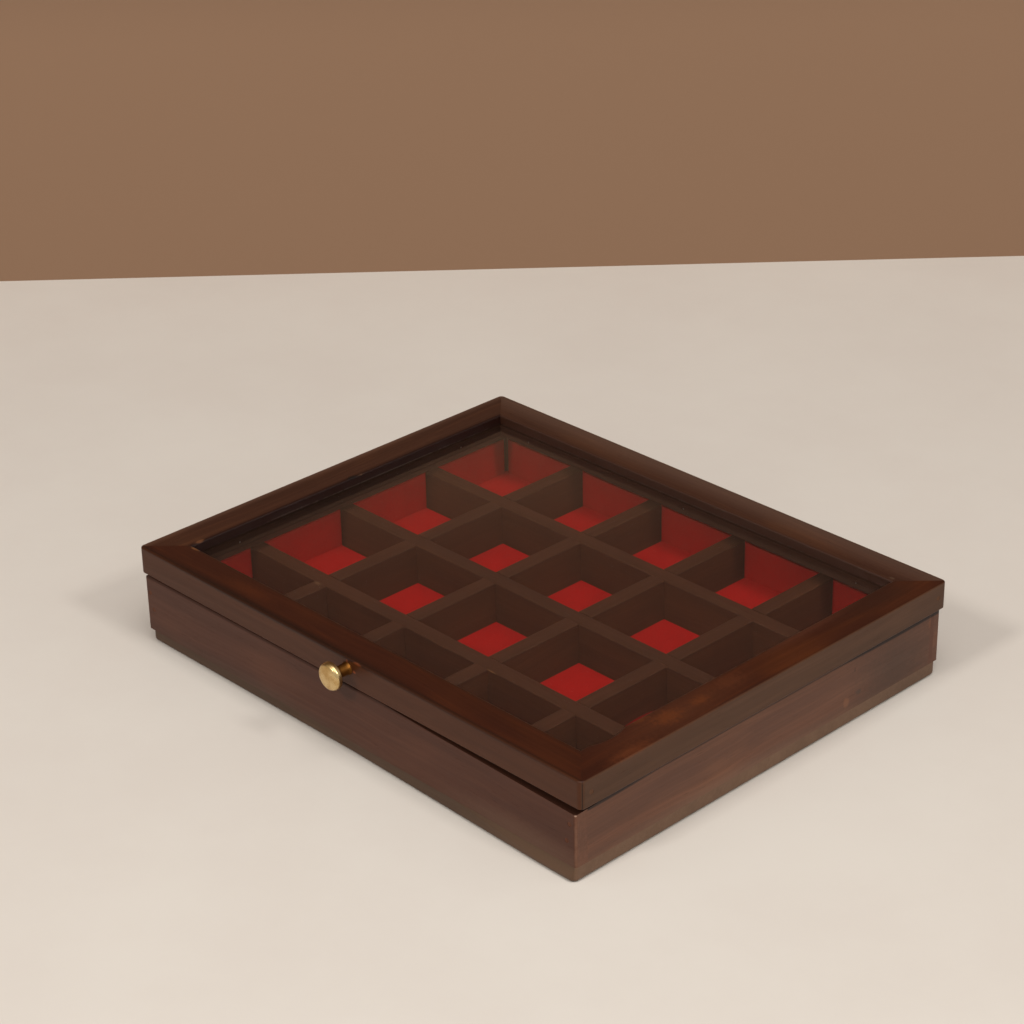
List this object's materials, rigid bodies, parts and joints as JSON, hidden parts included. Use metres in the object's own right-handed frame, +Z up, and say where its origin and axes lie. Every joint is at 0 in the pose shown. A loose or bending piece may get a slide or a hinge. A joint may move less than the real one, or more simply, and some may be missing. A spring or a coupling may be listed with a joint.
{
  "type": "compartment box",
  "caption": "Low dark hardwood box with a mitred, glass-topped hinged lid, a turned brass knob and a half-lapped divider grid over red felt, for keeping small things apart.",
  "frame": {"origin": "middle of the box's underside", "axes": "+Z up, +X along the long side, -Y towards the knob at the front, hinges at +Y"},
  "size_m": [0.254, 0.2155, 0.0443],
  "materials": {
    "wall_wood": "satin dark rosewood stain",
    "bottom_wood": "satin dark rosewood stain",
    "lid_wood": "satin dark red-brown stain",
    "bead_wood": "dark stain",
    "divider_wood": "matt dark stain",
    "felt": "red felt",
    "glass": "clear float glass",
    "knob_brass": "turned and lacquered",
    "hinge_brass": "pressed brass",
    "steel": "drawn wire"
  },
  "bodies": {
    "box": {"bottom_panel": "bottom_wood", "front_wall": "wall_wood", "back_wall": "wall_wood", "left_wall": "wall_wood", "right_wall": "wall_wood", "long_divider_1": "divider_wood", "long_divider_2": "divider_wood", "long_divider_3": "divider_wood", "cross_divider_1": "divider_wood", "cross_divider_2": "divider_wood", "cross_divider_3": "divider_wood", "cross_divider_4": "divider_wood", "floor_lining": "felt", "front_lining": "felt", "back_lining": "felt", "left_lining": "felt", "right_lining": "felt", "left_hinge_box_leaf": "hinge_brass", "left_hinge_pin": "hinge_brass", "right_hinge_box_leaf": "hinge_brass", "right_hinge_pin": "hinge_brass", "box_leaf_nails": "hinge_brass", "corner_brads": "steel", "bottom_brads": "steel"},
    "lid": {"lid_front_rail": "lid_wood", "lid_back_rail": "lid_wood", "lid_left_rail": "lid_wood", "lid_right_rail": "lid_wood", "front_glazing_bead": "bead_wood", "back_glazing_bead": "bead_wood", "left_glazing_bead": "bead_wood", "right_glazing_bead": "bead_wood", "glass_pane": "glass", "left_hinge_lid_leaf": "hinge_brass", "right_hinge_lid_leaf": "hinge_brass", "lid_leaf_nails": "hinge_brass", "knob": "knob_brass", "knob_stud": "steel", "lid_corner_brads": "steel", "glazing_pins": "steel"}
  },
  "joints": [
    {"name": "lid_hinge", "type": "hinge", "parent": "box", "child": "lid", "pos_m": [0, 0.1012, 0.03132], "axis": [-1, 0, 0], "range_deg": [0, 100]}
  ]
}
